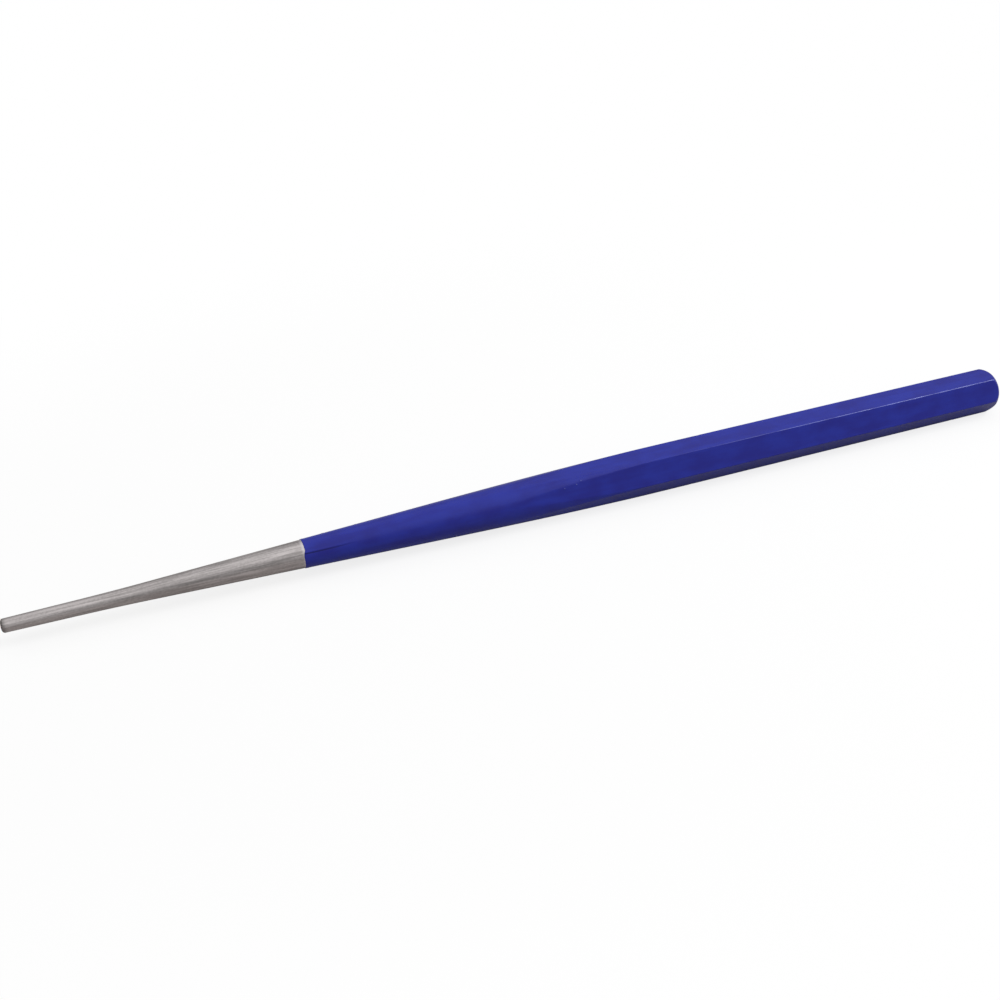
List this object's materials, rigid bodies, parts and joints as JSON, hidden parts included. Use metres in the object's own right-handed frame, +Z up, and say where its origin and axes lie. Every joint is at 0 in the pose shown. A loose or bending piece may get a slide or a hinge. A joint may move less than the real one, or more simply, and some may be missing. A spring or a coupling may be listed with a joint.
{
  "type": "line-up punch",
  "caption": "Long one-piece steel alignment punch: hexagonal shank with a radiused striking head, long round taper and slim rounded nose, bare at the front and blue enamelled behind.",
  "frame": {"origin": "under the middle of the tool, on the surface that it lies on", "axes": "+X along the tool from nose to head, +Z up through the upper flat of the hexagon, +Y across the corners"},
  "size_m": [0.4064, 0.0184, 0.0161],
  "materials": {
    "ground_steel": "bare warm grey ground steel, satin, with fine lengthwise marks",
    "blue_enamel": "ultramarine blue dipped enamel, semi-gloss, slightly rippled"
  },
  "bodies": {
    "root": {"punch_body": "ground_steel", "enamel_coat": "blue_enamel"}
  },
  "joints": []
}
